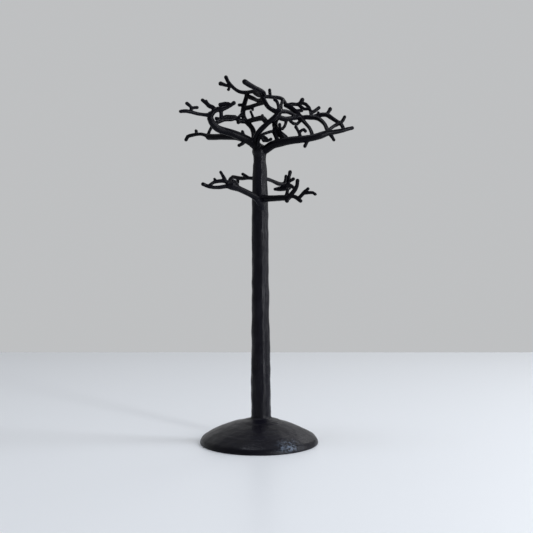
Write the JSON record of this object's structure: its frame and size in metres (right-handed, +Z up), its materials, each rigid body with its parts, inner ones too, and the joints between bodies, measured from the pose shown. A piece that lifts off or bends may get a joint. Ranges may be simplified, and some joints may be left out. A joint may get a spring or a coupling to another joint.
{
  "type": "clay tree of life",
  "caption": "Bare tree sculpture of black burnished clay: a tall plain trunk on a domed foot, a spreading crown of bent limbs and twigs, and a small lower tier of branches.",
  "frame": {"origin": "middle of the foot's flat underside, on the table", "axes": "+Z up the trunk, +X to the right and +Y away, as seen from the front"},
  "size_m": [0.1401, 0.096, 0.3006],
  "materials": {
    "clay": "hand-burnished black clay, satin, unglazed",
    "steel": "plain drawn wire and rod",
    "felt": "pressed wool felt"
  },
  "bodies": {
    "root": {"foot_dome": "clay", "felt_pad": "felt", "foot_collar": "clay", "trunk": "clay", "core_rod": "steel", "rod_nut": "steel", "rod_washer": "steel", "crown_knuckle": "clay", "crown_pegs": "steel", "lower_pegs": "steel", "left_limb": "clay", "left_outer_twig": "clay", "left_inner_fork": "clay", "left_fork_tips": "clay", "left_fork_bar": "clay", "back_left_limb": "clay", "back_left_twig": "clay", "back_left_upright": "clay", "centre_limb": "clay", "side_branch": "clay", "side_twig": "clay", "crossbar": "clay", "top_twig": "clay", "top_sprig": "clay", "front_finger": "clay", "link_limb": "clay", "link_brace": "clay", "upper_arc": "clay", "arc_upright": "clay", "head_hook": "clay", "front_limb": "clay", "bridge_limb": "clay", "thin_branch": "clay", "front_curl": "clay", "right_limb": "clay", "right_y_twig": "clay", "inner_right_limb": "clay", "lower_bar": "clay", "upper_bar": "clay", "inner_right_prop": "clay", "hanging_hook": "clay", "hanging_loop": "clay", "diagonal_branch": "clay", "crest_bar": "clay", "right_arc": "clay", "arc_twig": "clay", "reaching_branch": "clay", "right_strut": "clay", "far_right_branch": "clay", "far_right_fork": "clay", "low_left_limb": "clay", "low_left_twig": "clay", "low_left_loop": "clay", "low_left_claw": "clay", "low_back_left_limb": "clay", "low_right_limb": "clay", "low_right_upright": "clay", "low_right_fork": "clay", "low_back_right_limb": "clay", "low_back_right_spray": "clay"}
  },
  "joints": []
}
